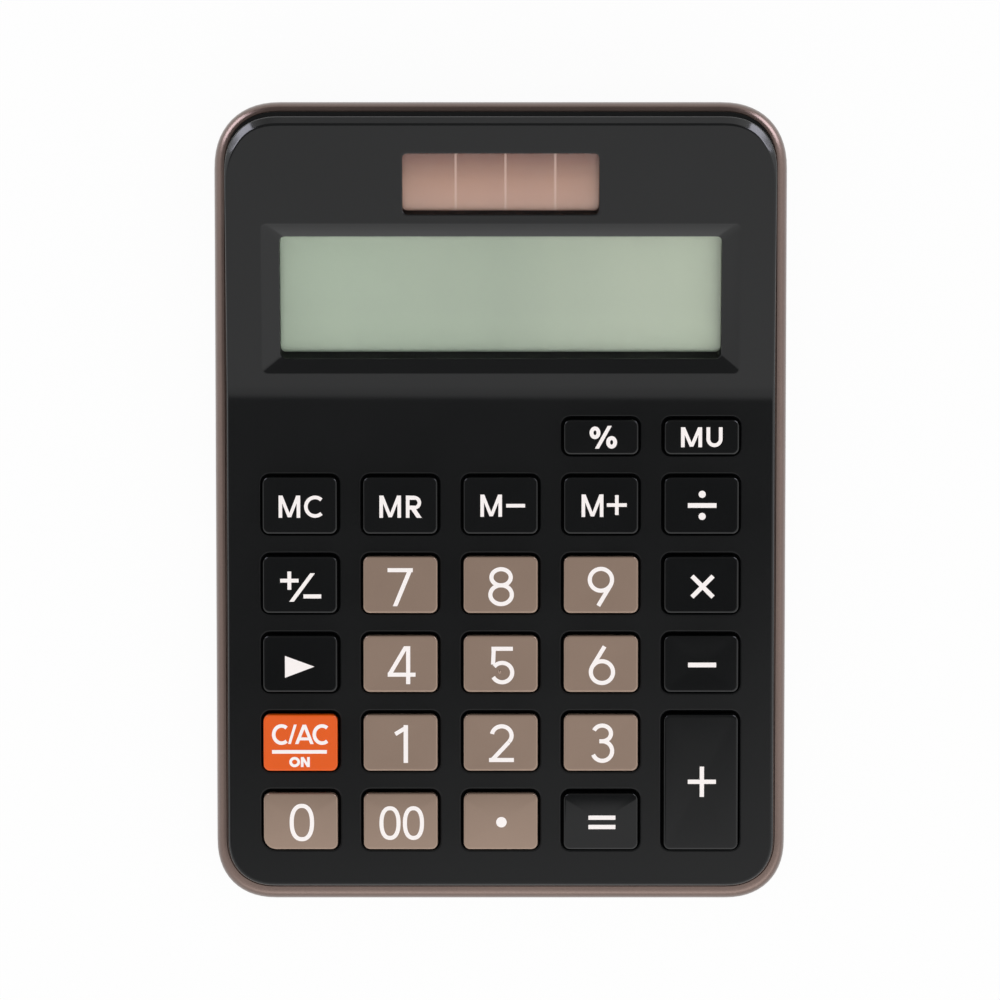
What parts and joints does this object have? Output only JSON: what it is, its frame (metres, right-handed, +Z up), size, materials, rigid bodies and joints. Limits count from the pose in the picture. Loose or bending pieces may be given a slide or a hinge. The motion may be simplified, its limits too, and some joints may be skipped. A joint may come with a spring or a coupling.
{
  "type": "desk calculator",
  "caption": "Compact electronic calculator with a tilted display, solar cell, rubber-dome keys and two-part moulded case.",
  "frame": {"origin": "middle of the body, on the surface that its feet stand on", "axes": "+X to the right across the keys, +Y from the front edge to the raised display end, +Z up"},
  "size_m": [0.106, 0.148, 0.029],
  "materials": {
    "upper_case_plastic": "fine-grained black moulded plastic",
    "lower_case_plastic": "satin bronze metallic finish",
    "function_key_plastic": "smooth black",
    "number_key_plastic": "smooth brown-grey metallic",
    "clear_key_plastic": "smooth orange",
    "clear_window": "clear, glossy",
    "polariser_film": "grey film",
    "display_glass": "clear, glossy",
    "reflector_film": "satin grey-green film",
    "inner_plastic": "black",
    "screw_steel": "zinc plated",
    "ribbon_film": "amber film",
    "solar_silicon": "brown-red amorphous silicon",
    "foam_rubber": "open foam",
    "keypad_silicone": "matte grey silicone",
    "carbon_pill": "matte black",
    "board_laminate": "brown paper laminate",
    "chip_resin": "black resin",
    "capacitor_sleeve": "dark sleeve",
    "chip_ceramic": "matte",
    "cell_steel": "nickel plated",
    "contact_brass": "tinned",
    "foot_rubber": "matte black",
    "lead_red": "satin insulation",
    "lead_black": "satin insulation"
  },
  "bodies": {
    "housing": {"upper_shell": "upper_case_plastic", "lower_shell": "lower_case_plastic", "display_window": "clear_window", "front_polariser": "polariser_film", "front_glass": "display_glass", "rear_glass": "display_glass", "rear_reflector": "reflector_film", "display_frame": "inner_plastic", "frame_screws": "screw_steel", "display_ribbon": "ribbon_film", "solar_window": "clear_window", "solar_cell": "solar_silicon", "solar_pad": "foam_rubber", "solar_tray": "inner_plastic", "rubber_keypad": "keypad_silicone", "contact_pills": "carbon_pill", "circuit_board": "board_laminate", "chip_cap": "chip_resin", "board_capacitor": "capacitor_sleeve", "board_chips": "chip_ceramic", "board_screws": "screw_steel", "button_cell": "cell_steel", "cell_spring": "contact_brass", "cell_strip": "contact_brass", "battery_door": "lower_case_plastic", "door_screw": "screw_steel", "rubber_feet": "foot_rubber", "case_screws": "screw_steel", "solar_lead_red": "lead_red", "solar_lead_black": "lead_black", "cell_lead_red": "lead_red", "cell_lead_black": "lead_black"},
    "key_percent": {"key_percent": "function_key_plastic"},
    "key_mark_up": {"key_mark_up": "function_key_plastic"},
    "key_memory_clear": {"key_memory_clear": "function_key_plastic"},
    "key_memory_recall": {"key_memory_recall": "function_key_plastic"},
    "key_memory_minus": {"key_memory_minus": "function_key_plastic"},
    "key_memory_plus": {"key_memory_plus": "function_key_plastic"},
    "key_divide": {"key_divide": "function_key_plastic"},
    "key_sign": {"key_sign": "function_key_plastic"},
    "key_7": {"key_7": "number_key_plastic"},
    "key_8": {"key_8": "number_key_plastic"},
    "key_9": {"key_9": "number_key_plastic"},
    "key_multiply": {"key_multiply": "function_key_plastic"},
    "key_backspace": {"key_backspace": "function_key_plastic"},
    "key_4": {"key_4": "number_key_plastic"},
    "key_5": {"key_5": "number_key_plastic"},
    "key_6": {"key_6": "number_key_plastic"},
    "key_minus": {"key_minus": "function_key_plastic"},
    "key_clear": {"key_clear": "clear_key_plastic"},
    "key_1": {"key_1": "number_key_plastic"},
    "key_2": {"key_2": "number_key_plastic"},
    "key_3": {"key_3": "number_key_plastic"},
    "key_plus": {"key_plus": "function_key_plastic"},
    "key_0": {"key_0": "number_key_plastic"},
    "key_00": {"key_00": "number_key_plastic"},
    "key_point": {"key_point": "number_key_plastic"},
    "key_equals": {"key_equals": "function_key_plastic"}
  },
  "joints": [
    {"name": "press_percent", "type": "slide", "parent": "housing", "child": "key_percent", "axis": [0, -0.0785, 0.9969], "range_m": [-0.0015, 0], "stiffness_N_per_m": 400, "springref_m": 0.0005, "deforming": ["rubber_keypad", "contact_pills"]},
    {"name": "press_mark_up", "type": "slide", "parent": "housing", "child": "key_mark_up", "axis": [0, -0.0785, 0.9969], "range_m": [-0.0015, 0], "stiffness_N_per_m": 400, "springref_m": 0.0005, "deforming": ["rubber_keypad", "contact_pills"]},
    {"name": "press_memory_clear", "type": "slide", "parent": "housing", "child": "key_memory_clear", "axis": [0, -0.0785, 0.9969], "range_m": [-0.0015, 0], "stiffness_N_per_m": 400, "springref_m": 0.0005, "deforming": ["rubber_keypad", "contact_pills"]},
    {"name": "press_memory_recall", "type": "slide", "parent": "housing", "child": "key_memory_recall", "axis": [0, -0.0785, 0.9969], "range_m": [-0.0015, 0], "stiffness_N_per_m": 400, "springref_m": 0.0005, "deforming": ["rubber_keypad", "contact_pills"]},
    {"name": "press_memory_minus", "type": "slide", "parent": "housing", "child": "key_memory_minus", "axis": [0, -0.0785, 0.9969], "range_m": [-0.0015, 0], "stiffness_N_per_m": 400, "springref_m": 0.0005, "deforming": ["rubber_keypad", "contact_pills"]},
    {"name": "press_memory_plus", "type": "slide", "parent": "housing", "child": "key_memory_plus", "axis": [0, -0.0785, 0.9969], "range_m": [-0.0015, 0], "stiffness_N_per_m": 400, "springref_m": 0.0005, "deforming": ["rubber_keypad", "contact_pills"]},
    {"name": "press_divide", "type": "slide", "parent": "housing", "child": "key_divide", "axis": [0, -0.0785, 0.9969], "range_m": [-0.0015, 0], "stiffness_N_per_m": 400, "springref_m": 0.0005, "deforming": ["rubber_keypad", "contact_pills"]},
    {"name": "press_sign", "type": "slide", "parent": "housing", "child": "key_sign", "axis": [0, -0.0785, 0.9969], "range_m": [-0.0015, 0], "stiffness_N_per_m": 400, "springref_m": 0.0005, "deforming": ["rubber_keypad", "contact_pills"]},
    {"name": "press_7", "type": "slide", "parent": "housing", "child": "key_7", "axis": [0, -0.0785, 0.9969], "range_m": [-0.0015, 0], "stiffness_N_per_m": 400, "springref_m": 0.0005, "deforming": ["rubber_keypad", "contact_pills"]},
    {"name": "press_8", "type": "slide", "parent": "housing", "child": "key_8", "axis": [0, -0.0785, 0.9969], "range_m": [-0.0015, 0], "stiffness_N_per_m": 400, "springref_m": 0.0005, "deforming": ["rubber_keypad", "contact_pills"]},
    {"name": "press_9", "type": "slide", "parent": "housing", "child": "key_9", "axis": [0, -0.0785, 0.9969], "range_m": [-0.0015, 0], "stiffness_N_per_m": 400, "springref_m": 0.0005, "deforming": ["rubber_keypad", "contact_pills"]},
    {"name": "press_multiply", "type": "slide", "parent": "housing", "child": "key_multiply", "axis": [0, -0.0785, 0.9969], "range_m": [-0.0015, 0], "stiffness_N_per_m": 400, "springref_m": 0.0005, "deforming": ["rubber_keypad", "contact_pills"]},
    {"name": "press_backspace", "type": "slide", "parent": "housing", "child": "key_backspace", "axis": [0, -0.0785, 0.9969], "range_m": [-0.0015, 0], "stiffness_N_per_m": 400, "springref_m": 0.0005, "deforming": ["rubber_keypad", "contact_pills"]},
    {"name": "press_4", "type": "slide", "parent": "housing", "child": "key_4", "axis": [0, -0.0785, 0.9969], "range_m": [-0.0015, 0], "stiffness_N_per_m": 400, "springref_m": 0.0005, "deforming": ["rubber_keypad", "contact_pills"]},
    {"name": "press_5", "type": "slide", "parent": "housing", "child": "key_5", "axis": [0, -0.0785, 0.9969], "range_m": [-0.0015, 0], "stiffness_N_per_m": 400, "springref_m": 0.0005, "deforming": ["rubber_keypad", "contact_pills"]},
    {"name": "press_6", "type": "slide", "parent": "housing", "child": "key_6", "axis": [0, -0.0785, 0.9969], "range_m": [-0.0015, 0], "stiffness_N_per_m": 400, "springref_m": 0.0005, "deforming": ["rubber_keypad", "contact_pills"]},
    {"name": "press_minus", "type": "slide", "parent": "housing", "child": "key_minus", "axis": [0, -0.0785, 0.9969], "range_m": [-0.0015, 0], "stiffness_N_per_m": 400, "springref_m": 0.0005, "deforming": ["rubber_keypad", "contact_pills"]},
    {"name": "press_clear", "type": "slide", "parent": "housing", "child": "key_clear", "axis": [0, -0.0785, 0.9969], "range_m": [-0.0015, 0], "stiffness_N_per_m": 400, "springref_m": 0.0005, "deforming": ["rubber_keypad", "contact_pills"]},
    {"name": "press_1", "type": "slide", "parent": "housing", "child": "key_1", "axis": [0, -0.0785, 0.9969], "range_m": [-0.0015, 0], "stiffness_N_per_m": 400, "springref_m": 0.0005, "deforming": ["rubber_keypad", "contact_pills"]},
    {"name": "press_2", "type": "slide", "parent": "housing", "child": "key_2", "axis": [0, -0.0785, 0.9969], "range_m": [-0.0015, 0], "stiffness_N_per_m": 400, "springref_m": 0.0005, "deforming": ["rubber_keypad", "contact_pills"]},
    {"name": "press_3", "type": "slide", "parent": "housing", "child": "key_3", "axis": [0, -0.0785, 0.9969], "range_m": [-0.0015, 0], "stiffness_N_per_m": 400, "springref_m": 0.0005, "deforming": ["rubber_keypad", "contact_pills"]},
    {"name": "press_plus", "type": "slide", "parent": "housing", "child": "key_plus", "axis": [0, -0.0785, 0.9969], "range_m": [-0.0015, 0], "stiffness_N_per_m": 400, "springref_m": 0.0005, "deforming": ["rubber_keypad", "contact_pills"]},
    {"name": "press_0", "type": "slide", "parent": "housing", "child": "key_0", "axis": [0, -0.0785, 0.9969], "range_m": [-0.0015, 0], "stiffness_N_per_m": 400, "springref_m": 0.0005, "deforming": ["rubber_keypad", "contact_pills"]},
    {"name": "press_00", "type": "slide", "parent": "housing", "child": "key_00", "axis": [0, -0.0785, 0.9969], "range_m": [-0.0015, 0], "stiffness_N_per_m": 400, "springref_m": 0.0005, "deforming": ["rubber_keypad", "contact_pills"]},
    {"name": "press_point", "type": "slide", "parent": "housing", "child": "key_point", "axis": [0, -0.0785, 0.9969], "range_m": [-0.0015, 0], "stiffness_N_per_m": 400, "springref_m": 0.0005, "deforming": ["rubber_keypad", "contact_pills"]},
    {"name": "press_equals", "type": "slide", "parent": "housing", "child": "key_equals", "axis": [0, -0.0785, 0.9969], "range_m": [-0.0015, 0], "stiffness_N_per_m": 400, "springref_m": 0.0005, "deforming": ["rubber_keypad", "contact_pills"]}
  ]
}
